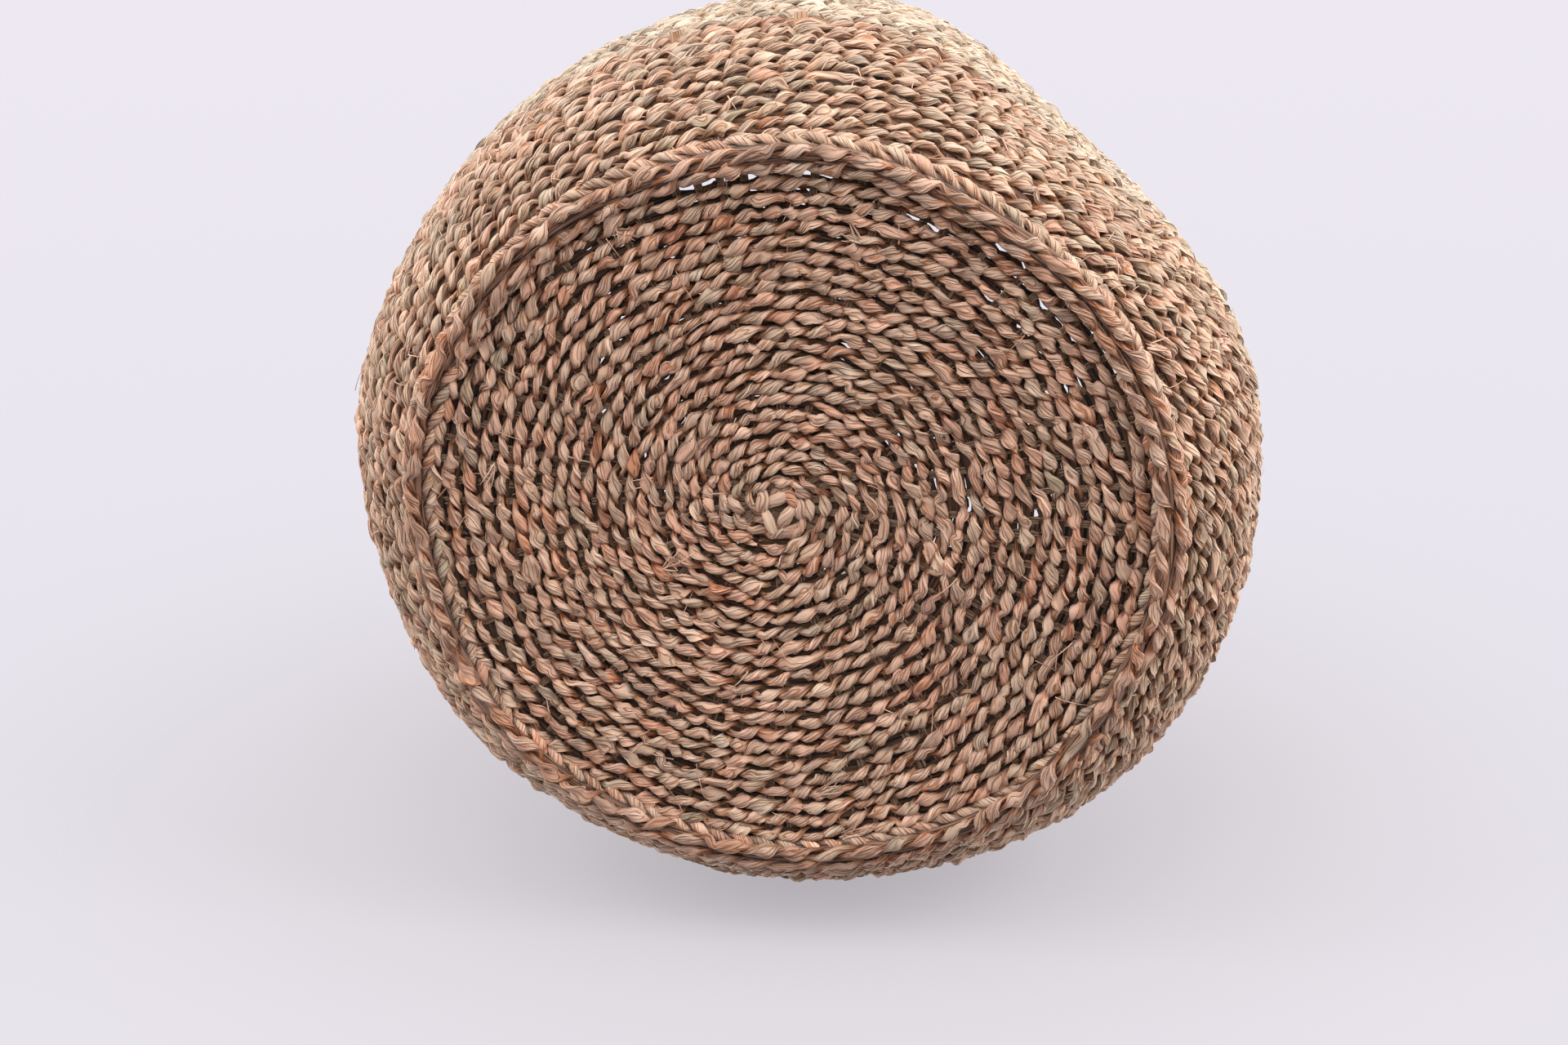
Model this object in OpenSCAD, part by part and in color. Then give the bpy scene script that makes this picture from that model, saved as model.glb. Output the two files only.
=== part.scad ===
// Round belly basket of twined seagrass, standing upright on its foot.
// Millimetres, +Z up. The origin is the centre of the foot's underside.
// Each pair-twined course has one strand outside the stakes and one inside, so every
// band of weft is an outer and an inner layer with the stakes lying between them.

/* [Base] */
// Radius to the middle of the foot ridge
base_r = 165; // [140:1:185]
// Height of the woven base's underside above the ground, inside the foot ridge
base_lift = 7; // [3:0.5:8]
// Radius of the open start, where only the crossed sticks lie
start_r = 9; // [6:1:12]

/* [Wall] */
// Outside radius at the widest part of the belly
belly_r = 207; // [198:1:225]
// Height of the widest part of the belly
belly_z = 94; // [85:1:110]
// Radius to the middle of the wall at the mouth
mouth_r = 150; // [135:1:175]
// Height of the wall where the rim border starts
neck_z = 278; // [255:1:320]

/* [Strands] */
// Thickness of one strand of weft
strand_t = 3.3; // [2.5:0.1:4]
// Thickness of a stake
stake_t = 2.4; // [2:0.1:3]
// Width of a stake
stake_w = 3; // [2:0.1:3.2]

/* [Foot and rim] */
// Width of the foot ridge
foot_w = 14; // [13:0.5:16]
// Height of the foot ridge
foot_h = 16; // [16:0.5:20]
// Diameter of the rolled rim border
border_d = 14; // [12:0.5:18]
// How far the rim waling stands out from the wall on each side
waling_step = 1.5; // [1:0.5:3]

/* [Hidden] */
$fn = 96;
far = 600;
natural = [0.78, 0.65, 0.53];
natural_dark = [0.66, 0.53, 0.41];
ridge = [0.83, 0.66, 0.53];
cream = [0.93, 0.86, 0.72];

wall_t = 2 * strand_t + stake_t;
stake_z = base_lift + strand_t;
base_edge = base_r - foot_w / 2;

// The wall is two arcs that meet upright at the widest part of the belly.
belly_mid = belly_r - wall_t / 2;
function arc_radius(across, along) = (across * across + along * along) / (2 * across);
low_R = arc_radius(belly_mid - base_r, belly_z - foot_h);
low_end = asin((belly_z - foot_h) / low_R);
high_R = arc_radius(belly_mid - mouth_r, neck_z - belly_z);
high_end = asin((neck_z - belly_z) / high_R);

// Where each band of weft ends, as a radius on the base and as an angle on the two arcs. Three
// natural bands cover nearly all of the lower arc, and four cream bands the rest of the wall.
start_weft_r = 22;
inner_weft_r = 56;
middle_weft_r = 107;
natural_share = 0.98;
natural_step = natural_share * low_end / 3;
belly_end = 8;
waling_turn = 1.4;
waling_end = high_end - waling_turn;
cream_step = (waling_end - belly_end) / 3;
// The lowest band starts this far before the lower arc does, and the foot's top cuts it level.
foot_turn = 4;

// Sticks of the base: six each way through the centre, whose ends fan out evenly, then two added
// sets that each double the number. One stake of the wall stands at each stick's outer end.
start_n = 6;
start_pitch = 3.4;
start_fan = 360 / (4 * start_n);
first_added_r = 36;
second_added_r = 92;
side_stakes_n = 16 * start_n;

// Flat bar from one point to another, with a round end, for a stick of the base.
module stick(from, to, thick) {
    run = to - from;
    translate([from[0], from[1], 0]) rotate([0, 0, atan2(run[1], run[0])]) {
        translate([0, -stake_w / 2, 0]) cube([norm(run), stake_w, thick]);
        cylinder(d = stake_w, h = thick);
    }
}

// One set of start sticks: parallel where the two sets cross, then fanned out to both sides.
module start_set(thick) {
    for (i = [0 : start_n - 1]) {
        step = i - (start_n - 1) / 2;
        inner = [start_r + stake_w, step * start_pitch];
        outer = base_edge * [cos(step * start_fan), sin(step * start_fan)];
        union() {
            translate([-inner[0], inner[1] - stake_w / 2, 0]) cube([2 * inner[0], stake_w, thick]);
            stick(inner, outer, thick);
            stick([-inner[0], inner[1]], [-outer[0], outer[1]], thick);
        }
    }
}

module added_sticks(from_r, turn, first) {
    for (a = [first : turn : 359]) rotate([0, 0, a])
        translate([from_r, -stake_w / 2, stake_z]) cube([base_edge - from_r, stake_w, stake_t]);
}

// Both layers of a band of weft on the flat base.
module base_band(from_r, to_r) {
    for (z = [base_lift, stake_z + stake_t])
        rotate_extrude() translate([from_r, z]) square([to_r - from_r, strand_t]);
}

// Cross-section of one layer of the wall from one angle to another on an arc, kept above the foot.
module arc_layer(centre_r, radius, low, high, from, to) {
    intersection() {
        translate([centre_r, belly_z]) intersection() {
            difference() {
                circle(r = radius + high);
                circle(r = radius + low);
            }
            polygon([[0, 0], far * [cos(from), sin(from)], far * [cos(to), sin(to)]]);
        }
        translate([0, foot_h]) square(far);
    }
}

// The same layer over any stretch of the wall: below angle 0 it is the lower arc, above it the upper arc.
module wall_layer(low, high, from, to) {
    if (from < 0) arc_layer(belly_mid - low_R, low_R, low, high, from, min(to, 0));
    if (to > 0) arc_layer(belly_mid - high_R, high_R, low, high, max(from, 0), to);
}

// Both layers of a band of weft on the wall.
module wall_band(from, to, proud = 0) {
    rotate_extrude() wall_layer(stake_t / 2, wall_t / 2 + proud, from, to);
    rotate_extrude() wall_layer(-wall_t / 2 - proud, -stake_t / 2, from, to);
}

module start_sticks_lengthwise() {
    color(natural_dark) translate([0, 0, stake_z]) start_set(stake_t / 2);
}

module start_sticks_crosswise() {
    color(natural_dark) translate([0, 0, stake_z + stake_t / 2]) rotate([0, 0, 90]) start_set(stake_t / 2);
}

module first_added_sticks() {
    color(natural_dark) added_sticks(first_added_r, start_fan, 0);
}

module second_added_sticks() {
    color(natural_dark) added_sticks(second_added_r, start_fan / 2, start_fan / 4);
}

module start_weft() {
    color(natural) base_band(start_r, start_weft_r);
}

module base_weft_inner() {
    color(natural) base_band(start_weft_r, inner_weft_r);
}

module base_weft_middle() {
    color(natural) base_band(inner_weft_r, middle_weft_r);
}

module base_weft_outer() {
    color(natural) base_band(middle_weft_r, base_edge);
}

module foot_waling() {
    chamfer = 2;
    color(ridge) rotate_extrude() translate([base_edge, 0])
        polygon([[chamfer, 0], [foot_w - chamfer, 0], [foot_w, chamfer], [foot_w, foot_h],
                 [0, foot_h], [0, chamfer]]);
}

module side_stakes() {
    turn = stake_w / base_r * 180 / PI;
    color(natural_dark) for (i = [0 : side_stakes_n - 1]) rotate([0, 0, i * 360 / side_stakes_n - turn / 2])
        rotate_extrude(angle = turn) wall_layer(-stake_t / 2, stake_t / 2, -low_end - foot_turn, high_end);
}

module side_weft_lower() {
    color(natural) wall_band(-low_end - foot_turn, -low_end + natural_step);
}

module side_weft_middle() {
    color(natural) wall_band(-low_end + natural_step, -low_end + 2 * natural_step);
}

module side_weft_upper() {
    color(natural) wall_band(-low_end + 2 * natural_step, -low_end + 3 * natural_step);
}

module cream_weft_belly() {
    color(cream) wall_band(-low_end + 3 * natural_step, belly_end);
}

module cream_weft_lower_shoulder() {
    color(cream) wall_band(belly_end, belly_end + cream_step);
}

module cream_weft_upper_shoulder() {
    color(cream) wall_band(belly_end + cream_step, belly_end + 2 * cream_step);
}

module cream_weft_neck() {
    color(cream) wall_band(belly_end + 2 * cream_step, waling_end);
}

module rim_waling() {
    color(cream) wall_band(waling_end, high_end, waling_step);
}

// The ends of the stakes, folded down and rolled into a round border that sits flat on the wall's edge.
module rim_border() {
    seat = border_d * 0.4;
    color(cream) rotate_extrude() translate([mouth_r, neck_z]) rotate([0, 0, high_end]) intersection() {
        translate([0, seat]) circle(d = border_d);
        translate([-border_d, 0]) square(2 * border_d);
    }
}

start_sticks_lengthwise();
start_sticks_crosswise();
first_added_sticks();
second_added_sticks();
start_weft();
base_weft_inner();
base_weft_middle();
base_weft_outer();
foot_waling();
side_stakes();
side_weft_lower();
side_weft_middle();
side_weft_upper();
cream_weft_belly();
cream_weft_lower_shoulder();
cream_weft_upper_shoulder();
cream_weft_neck();
rim_waling();
rim_border();
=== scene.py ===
import math

import bpy
import numpy as np
from mathutils import Matrix, Vector


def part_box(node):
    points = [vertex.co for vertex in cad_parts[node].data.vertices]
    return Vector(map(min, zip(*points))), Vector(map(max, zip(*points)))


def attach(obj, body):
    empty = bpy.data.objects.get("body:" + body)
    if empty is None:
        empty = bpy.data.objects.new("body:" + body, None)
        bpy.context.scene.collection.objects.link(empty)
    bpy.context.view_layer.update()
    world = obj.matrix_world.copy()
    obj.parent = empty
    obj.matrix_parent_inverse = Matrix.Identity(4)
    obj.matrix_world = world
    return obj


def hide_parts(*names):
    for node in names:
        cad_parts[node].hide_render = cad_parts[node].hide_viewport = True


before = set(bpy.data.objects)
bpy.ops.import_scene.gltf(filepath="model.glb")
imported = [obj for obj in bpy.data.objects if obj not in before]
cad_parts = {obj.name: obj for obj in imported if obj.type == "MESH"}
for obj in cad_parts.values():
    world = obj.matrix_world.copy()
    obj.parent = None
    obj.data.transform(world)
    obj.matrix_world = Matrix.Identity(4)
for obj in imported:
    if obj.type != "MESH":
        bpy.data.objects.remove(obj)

# ---------------------------------------------------------------- Start sticks
# The basket is begun with two sets of flat seagrass bundles laid across each other at the
# centre of the base. Each bundle is three thin dry cords side by side, and the twining that
# starts over the crossing grips them.

mm = 0.001
seed = 20
chance = np.random.default_rng(seed)
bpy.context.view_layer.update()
base_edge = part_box("base_weft_outer")[1][0]
base_middle = (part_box("base_weft_outer")[0][2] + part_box("base_weft_outer")[1][2]) / 2
base_dish = 3.5 * mm
belly_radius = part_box("cream_weft_belly")[1][0]


def ease(value, low, high):
    """0 up to low, 1 from high on, and a smooth change between them."""
    part = np.clip((value - low) / (high - low), 0, 1)
    return part * part * (3 - 2 * part)


def base_skin(place):
    """Middle surface of the base at a distance from its centre: radius, height and outward normal."""
    rise = base_dish * (1 - np.clip(place / base_edge, 0, 1) ** 2)
    return place, base_middle + rise, np.zeros_like(place), -np.ones_like(place)


# The soft basket isn't quite round. A ripple is (waves in a turn, share of the radius, phase). A
# dent is (direction and reach in degrees, share of the radius, and the heights in millimetres at
# which it starts and is full), and a negative one is a bulge.
ripples = ((5, 0.0045, 0.9), (8, 0.0035, 2.2))
dents = (
    (131, 27, 0.092, 5, 85),
    (150, 40, 0.035, 95, 150),
    (50, 24, 0.026, 5, 85),
    (22, 14, 0.015, 5, 85),
    (184, 13, 0.018, 5, 85),
    (216, 24, -0.02, 5, 85),
    (86, 20, 0.02, 5, 85),
)
# The start of the weave lies off the middle, and the base makes up for it further out.
start_shift = (6 * mm, 4 * mm)
shift_whole, shift_gone = 10 * mm, 140 * mm
shift_top = 30 * mm
# The foot doesn't stand quite flat.
warp, warp_phase = 0.9 * mm, 0.6
warp_starts, warp_whole = 20 * mm, 150 * mm


def settle(radius, turn, height):
    """Where a point of the round shape lies on the soft basket, which is slightly out of round."""
    give = sum(share * np.cos(waves * turn + phase) for waves, share, phase in ripples)
    for middle, reach, depth, low, high in dents:
        away = (np.degrees(turn) - middle + 180) % 360 - 180
        give = give + depth * ease(height, low * mm, high * mm) * np.exp(-((away / reach) ** 2))
    radius = radius * (1 - give)
    off_centre = (1 - ease(radius, shift_whole, shift_gone)) * (height < shift_top)
    height = height + warp * np.sin(2 * turn + warp_phase) * ease(radius, warp_starts, warp_whole)
    return np.stack([
        radius * np.cos(turn) + start_shift[0] * off_centre,
        radius * np.sin(turn) + start_shift[1] * off_centre,
        height,
    ], axis=-1)


def on_skin(skin, place, turn, out):
    """Points at a place along the skin and a turn round it, a given distance out from it."""
    radius, height, face_r, face_z = skin(place)
    return settle(radius + face_r * out, turn, height + face_z * out)


def unit(vectors):
    return vectors / np.linalg.norm(vectors, axis=-1, keepdims=True)


def dot(a, b):
    return np.sum(a * b, axis=-1, keepdims=True)


def crosswise(line, outward, closed=False):
    """The directions across a line: sideways, and as near to the outward one as can be."""
    if closed:
        ahead = np.roll(line, -1, axis=0) - np.roll(line, 1, axis=0)
    else:
        ahead = np.gradient(line, axis=0)
    ahead = unit(ahead)
    thin = unit(outward - dot(outward, ahead) * ahead)
    return np.cross(ahead, thin), thin


any_way = (0, 6.28)
ribs = 4
fold_change = (0.25, 0.75)


def tube(line, outward, half_width, half_depth, columns, dye, lobe=0.14, roll=0.0, closed=False, leaf=None):
    """A flattened strand along a line, with its wide side outward and folds along it.

    The colour values are three numbers for each ring: lightness, hue, and one for wear and painted shade.
    lobe is how deep the folds are, and roll is how far they turn round the strand, in radians to the
    metre. Where leaf is given, it counts the leaves along the strand, and the folds change from one
    leaf to the next. The grain of each vertex is its place along and across the strand, in metres.
    """
    wide, thin = crosswise(line, outward, closed)
    steps = np.linalg.norm(np.diff(line, axis=0), axis=1)
    length = np.concatenate([[0.0], np.cumsum(steps)])
    around = np.arange(columns) * 2 * math.pi / columns
    half_width = np.broadcast_to(half_width, length.shape)
    half_depth = np.broadcast_to(half_depth, length.shape)
    if leaf is None:
        rib = 1 + lobe * np.cos(ribs * around[None, :] + length[:, None] * roll + chance.uniform(*any_way))
    else:
        folds = chance.uniform(-lobe, lobe, (int(leaf.max()) + 3, columns))
        whole = np.floor(leaf).astype(int)
        share = ease(leaf - whole, *fold_change)[:, None]
        rib = 1 + folds[whole] * (1 - share) + folds[whole + 1] * share
    spread = (half_width[:, None] * np.cos(around)[None, :] * rib)[..., None]
    swell = (half_depth[:, None] * np.sin(around)[None, :] * rib)[..., None]
    points = line[:, None, :] + wide[:, None, :] * spread + thin[:, None, :] * swell
    turned = around[None, :] + length[:, None] * roll
    grain = np.stack([
        np.broadcast_to(length[:, None], turned.shape),
        np.cos(turned) * half_width[:, None],
        np.sin(turned) * half_depth[:, None],
    ], axis=-1)
    grain = grain + chance.uniform(0, 1, 3)
    return {
        "points": points,
        "grain": grain,
        "dye": np.broadcast_to(dye[:, None, :], points.shape),
        "length": float(length[-1]),
        "closed": closed,
        "folded": leaf is not None,
    }


girth = 12 * mm
shortest_row = 60 * mm
row_margin = 0.05
cap_place = (0.001, 0.5)


def build(name, tubes, material, nodes=()):
    """Joins tubes into one mesh, lays their surfaces out in rows, and gives the piece to the body.

    Each tube is laid out lengthwise over one or more rows of the square, and its two end caps
    are gathered in one spot beside its first row.
    """
    row_length = max(math.sqrt(sum(t["length"] for t in tubes) * girth), shortest_row)
    rows = [max(1, math.ceil(t["length"] / row_length)) for t in tubes]
    points, grain, dye, corners, starts, places, sharp = [], [], [], [], [], [], []
    vertices = 0
    loops = 0
    row = 0
    for part, part_rows in zip(tubes, rows):
        rings, columns = part["points"].shape[:2]
        points.append(part["points"].reshape(-1, 3))
        grain.append(part["grain"].reshape(-1, 3))
        dye.append(part["dye"].reshape(-1, 3))
        folded = np.full(columns, -1)
        if part["folded"]:
            folded[::2] = np.arange(0, columns, 2)
        sharp.append(np.tile(folded, rings))
        spans = rings if part["closed"] else rings - 1
        ring, column = np.meshgrid(np.arange(spans), np.arange(columns), indexing="ij")
        after = (ring + 1) % rings
        beside = (column + 1) % columns
        quads = np.stack([
            ring * columns + column,
            after * columns + column,
            after * columns + beside,
            ring * columns + beside,
        ], axis=-1)
        corners.append((quads.reshape(-1, 4) + vertices).ravel())
        starts.append(loops + 4 * np.arange(spans * columns))
        loops += 4 * spans * columns
        row_spans = math.ceil(spans / part_rows)
        left = (ring % row_spans) / row_spans
        right = left + 1 / row_spans
        filled = 1 - 2 * row_margin
        low = row + ring // row_spans + row_margin + filled * column / columns
        high = low + filled / columns
        sides = np.stack([left, low, right, low, right, high, left, high], axis=-1)
        places.append(sides.reshape(-1, 2))
        if not part["closed"]:
            first = np.arange(columns) + vertices
            last = np.arange(columns)[::-1] + vertices + (rings - 1) * columns
            corners += [first, last]
            starts.append(loops + np.array([0, columns]))
            loops += 2 * columns
            places.append(np.tile([cap_place[0], row + cap_place[1]], (2 * columns, 1)))
        vertices += rings * columns
        row += part_rows
    mesh = bpy.data.meshes.new(name)
    mesh.vertices.add(vertices)
    mesh.vertices.foreach_set("co", np.concatenate(points).astype(np.float32).ravel())
    corners = np.concatenate(corners).astype(np.int32)
    starts = np.concatenate(starts).astype(np.int32)
    mesh.loops.add(len(corners))
    mesh.loops.foreach_set("vertex_index", corners)
    mesh.polygons.add(len(starts))
    mesh.polygons.foreach_set("loop_start", starts)
    mesh.update(calc_edges=True)
    mesh.shade_smooth()
    sharp = np.concatenate(sharp)
    ends = np.empty(2 * len(mesh.edges), dtype=np.int32)
    mesh.edges.foreach_get("vertices", ends)
    ends = sharp[ends.reshape(-1, 2)]
    creased = mesh.attributes.new("sharp_edge", "BOOLEAN", "EDGE")
    creased.data.foreach_set("value", (ends[:, 0] == ends[:, 1]) & (ends[:, 0] >= 0))
    for label, values in (("grain", grain), ("dye", dye)):
        layer = mesh.attributes.new(label, "FLOAT_VECTOR", "POINT")
        layer.data.foreach_set("vector", np.concatenate(values).astype(np.float32).ravel())
    layout = mesh.uv_layers.new(name="OFBake")
    places = np.concatenate(places)
    places[:, 1] /= row
    layout.uv.foreach_set("vector", places.astype(np.float32).ravel())
    mesh.validate()
    mesh.materials.append(material)
    piece = bpy.data.objects.new(name, mesh)
    bpy.context.scene.collection.objects.link(piece)
    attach(piece, "root")
    if nodes:
        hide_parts(*nodes)


class Shade:
    """A socket of a material's nodes, so that shader maths reads like a sum."""

    def __init__(self, tree, socket=None):
        self.tree = tree
        self.socket = socket

    def node(self, kind, settings=None, inputs=None, output=0):
        """Adds a node: its settings are set first, then its sockets are filled or linked."""
        made = self.tree.nodes.new(kind)
        for name, value in (settings or {}).items():
            if name == "stops":
                stops = made.color_ramp.elements
                while len(stops) < len(value):
                    stops.new(0.5)
                for stop, (position, colour) in zip(stops, value):
                    stop.position = position
                    stop.color = (*colour, 1)
            else:
                setattr(made, name, value)
        for name, value in (inputs or {}).items():
            if isinstance(value, Shade):
                self.tree.links.new(value.socket, made.inputs[name])
            else:
                made.inputs[name].default_value = value
        return Shade(self.tree, made.outputs[output] if len(made.outputs) else None)

    def maths(self, operation, first, second):
        return self.node("ShaderNodeMath", {"operation": operation}, {0: first, 1: second})

    def __add__(self, other):
        return self.maths("ADD", self, other)

    __radd__ = __add__

    def __sub__(self, other):
        return self.maths("SUBTRACT", self, other)

    def __rsub__(self, other):
        return self.maths("SUBTRACT", other, self)

    def __mul__(self, other):
        return self.maths("MULTIPLY", self, other)

    __rmul__ = __mul__


# How fine each noise is to the metre, along the strand and twice across it, and then how much
# each thing lightens or darkens the leaf, turns its hue, browns it or raises its surface. The
# darkening and browning by the wear value is partly random wear and partly painted shade where
# strands dive between sticks, and that by the creases is painted shade.
fibre_grain = (28, 1150, 1150)
fold_grain = (32, 520, 520)
crease_grain = (38, 620, 620)
stain_grain = (22, 60, 60)
crease_width = 0.07
leaf_light, tone_light, fold_light = 0.72, 0.5, 0.5
shade_and_wear_dark, crease_shade_dark = 0.4, 0.38
stain_hue, fold_hue = 0.45, 0.2
# Green and blue taken out where wear and painted shade fall, for the warm brown of shaded gaps.
green_lost, blue_lost = 0.32, 0.52
fibre_rise, fold_rise, crease_rise = 0.5, 0.9, 0.5
bump_depth = 0.9 * mm
gloss_range = 0.3


def seagrass(name, hues, light, streak, gloss):
    """Dry seagrass: a hue from the strand's dye, lightness from leaf to leaf, fine streaks along it, and
    painted shade that darkens and browns it in creases and where strands dive.
    """
    material = bpy.data.materials.new(name)
    material.use_nodes = True
    tree = material.node_tree
    tree.nodes.clear()
    start = Shade(tree)
    grain = start.node("ShaderNodeAttribute", {"attribute_name": "grain"}, output=1)
    dye = start.node("ShaderNodeAttribute", {"attribute_name": "dye"}, output=1)
    lightness, hue, wear_and_shade = (start.node("ShaderNodeSeparateXYZ", inputs={0: dye}, output=i) for i in range(3))

    def noise(scale, detail, roughness):
        """Noise along the grain, with zero as its middle."""
        stretched = start.node("ShaderNodeVectorMath", {"operation": "MULTIPLY"}, {0: grain, 1: scale})
        return start.node("ShaderNodeTexNoise", inputs={
            "Vector": stretched, "Scale": 1.0, "Detail": detail, "Roughness": roughness}) - 0.5

    fibres = noise(fibre_grain, detail=3.0, roughness=0.65)
    folds = noise(fold_grain, detail=1.0, roughness=0.5)
    stain = noise(stain_grain, detail=2.0, roughness=0.5)
    # The creases between fibre ribbons sink in the bump and are darkened in colour as painted shade.
    from_crease = start.maths("ABSOLUTE", noise(crease_grain, detail=0.0, roughness=0.5), 0.0)
    crease = start.node("ShaderNodeMapRange", inputs={
        0: from_crease, 1: 0.0, 2: crease_width, 3: 1.0, 4: 0.0})
    hue = hue + stain_hue * stain + fold_hue * folds
    colour = start.node("ShaderNodeValToRGB", {"stops": hues}, {0: hue})
    # Painted shade: the wear-and-shade value and the creases darken the leaf, and below they brown it too.
    value = light * (leaf_light + tone_light * lightness + streak * fibres + fold_light * folds
                     - shade_and_wear_dark * wear_and_shade - crease_shade_dark * crease)
    shade_and_wear_brown = wear_and_shade + crease
    level = start.node("ShaderNodeCombineColor", inputs={
        0: value, 1: value * (1 - green_lost * shade_and_wear_brown), 2: value * (1 - blue_lost * shade_and_wear_brown)})
    shaded = start.node("ShaderNodeMix", {"data_type": "RGBA", "blend_type": "MULTIPLY"},
                        {0: 1.0, 6: colour, 7: level}, output=2)
    height = fibre_rise * fibres + fold_rise * folds - crease_rise * crease
    bump = start.node("ShaderNodeBump", inputs={"Strength": 1.0, "Distance": bump_depth, "Height": height})
    shader = start.node("ShaderNodeBsdfPrincipled", inputs={
        "Base Color": shaded, "Roughness": gloss + gloss_range * fibres, "Normal": bump,
        "Specular IOR Level": 0.32, "Sheen Weight": 0.08, "Sheen Roughness": 0.5})
    start.node("ShaderNodeOutputMaterial", inputs={0: shader})
    return material


stick_hues = (
    (0.0, (0.32, 0.22, 0.14)),
    (0.5, (0.42, 0.28, 0.18)),
    (1.0, (0.46, 0.26, 0.15)),
)
stick_grass = seagrass("dry_stick_grass", stick_hues, light=0.7, streak=0.5, gloss=0.65)
cords_in_stick = 3
cord_radius = 0.62 * mm
cord_sides = 6
cord_lobe = 0.1
cord_roll = 500
dye_spread = 0.1


def even_dye_and_shade(count, lightness=0.5, hue=0.5, wear_and_shade=0.0):
    """The same dye and painted shade for every ring of a strand, a little off the given one."""
    own = chance.normal(0, dye_spread, 2)
    return np.tile([lightness + own[0], hue + own[1], wear_and_shade], (count, 1))


def stick(skin, places, turns):
    """A flat bundle of thin cords along the skin, which bend a little on their own."""
    gap, bend, lift = 1.9 * cord_radius, 0.12 * mm, 0.1 * mm
    made = []
    for cord in range(cords_in_stick):
        aside = (cord - (cords_in_stick - 1) / 2) * gap
        bends = chance.normal(0, bend, 4)
        walk = np.linspace(0, 1, len(places))
        shift = aside + sum(size * np.sin((k + 1) * math.pi * walk + k) for k, size in enumerate(bends))
        radius = np.maximum(skin(places)[0], 2 * mm)
        line = on_skin(skin, places, turns + shift / radius, chance.normal(0, lift))
        facing = unit(on_skin(skin, places, turns, mm) - on_skin(skin, places, turns, 0.0))
        made.append(tube(line, facing, 1.15 * cord_radius, cord_radius, cord_sides, even_dye_and_shade(len(places)),
                         cord_lobe, cord_roll))
    return made


start_count = 6
start_pitch = 3.1 * mm
start_fan = math.radians(15)
crossing = 10 * mm
layer_gap = 1.3 * mm
inner_points, outer_points = 6, 26
flat_gap, flat_half_width, flat_half_depth = 1.7 * cord_radius, 1.3 * cord_radius, 0.8 * cord_radius
down = [0, 0, -1.0]
for quarter, name in enumerate(("start_sticks_lengthwise", "start_sticks_crosswise")):
    bundles = []
    layer = (0.5 - quarter) * layer_gap
    for i in range(start_count):
        step = i - (start_count - 1) / 2
        middle = np.array([crossing, step * start_pitch])
        away = base_edge * np.array([math.cos(step * start_fan), math.sin(step * start_fan)])
        inner_part = np.linspace(0, 1, inner_points)[:, None] * middle * [1, 0] + [0, middle[1]]
        outer_part = middle + np.linspace(0, 1, outer_points)[1:, None] * (away - middle)
        half = np.concatenate([inner_part, outer_part])
        whole = np.concatenate([(half * [-1, 1])[:0:-1], half])
        places = np.hypot(whole[:, 0], whole[:, 1])
        turns = np.unwrap(np.arctan2(whole[:, 1], whole[:, 0])) + quarter * math.pi / 2
        line = settle(places, turns, base_skin(places)[1] - layer)
        side = unit(np.cross(down, np.gradient(line, axis=0)))
        facing = np.tile(down, (len(line), 1))
        for cord in range(cords_in_stick):
            aside = (cord - 1) * flat_gap
            bundles.append(tube(line + side * aside, facing, flat_half_width, flat_half_depth, cord_sides,
                                even_dye_and_shade(len(line)), cord_lobe, cord_roll))
    build(name, bundles, stick_grass, [name])

# ---------------------------------------------------------------- Added sticks
# Where the gaps between the sticks grow too wide, more bundles are pushed in beside them, which
# doubles their number at each of two rings. All of them run out to the foot.

added_sets = (
    ("first_added_sticks", 34 * mm, 24, 0.0),
    ("second_added_sticks", 88 * mm, 48, 3.75),
)
added_points = 18
under_foot = 2 * mm
for name, start, count, first_degrees in added_sets:
    bundles = []
    for i in range(count):
        turn = math.radians(first_degrees + i * 360 / count)
        places = np.linspace(start, base_edge + under_foot, added_points)
        bundles += stick(base_skin, places, np.full(added_points, turn))
    build(name, bundles, stick_grass, [name])

# ---------------------------------------------------------------- Base weft
# Pair twining: two strands of loosely twisted seagrass pass in front of and behind each stick
# in turn and cross between them, spiralling out from the centre. Every pass shows as a
# plump leaf-shaped stroke with pointed ends that dive under the next.

natural_hues = (
    (0.0, (0.47, 0.38, 0.26)),
    (0.25, (0.58, 0.44, 0.32)),
    (0.5, (0.65, 0.45, 0.325)),
    (0.78, (0.66, 0.405, 0.29)),
    (1.0, (0.58, 0.27, 0.15)),
)
natural_grass = seagrass("natural_seagrass", natural_hues, light=0.9, streak=0.8, gloss=0.6)
strand_depth = 3.3 * mm
front_reach = 3.2 * mm
lean = 1.15 * mm
leaf_change = (0.32, 0.68)
knots_in_radian = 4


def by_leaf(place, spread, run=1.0, kind="normal"):
    """A number that holds over each leaf, or a run of leaves, and changes where the strand dives."""
    place = place / run
    count = int(place.max()) + 3
    knots = chance.normal(0, spread, count) if kind == "normal" else chance.uniform(0, spread, count)
    whole = np.floor(place).astype(int)
    share = ease(place - whole, *leaf_change)
    return knots[whole] * (1 - share) + knots[whole + 1] * share


def wander(turn, amount):
    """A slow random sway along a course."""
    place = (turn - turn.min()) * knots_in_radian
    knots = chance.normal(0, amount, int(place.max()) + 3)
    whole = np.floor(place).astype(int)
    share = ease(place - whole, 0, 1)
    return knots[whole] * (1 - share) + knots[whole + 1] * share


# How the courses run unevenly: size, waves in a turn, turns with the place, and phase.
drift_waves = ((1.1 * mm, 2, 38, 0.7), (0.5 * mm, 5, -55, 0.0))
drift_fades = 25 * mm


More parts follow.
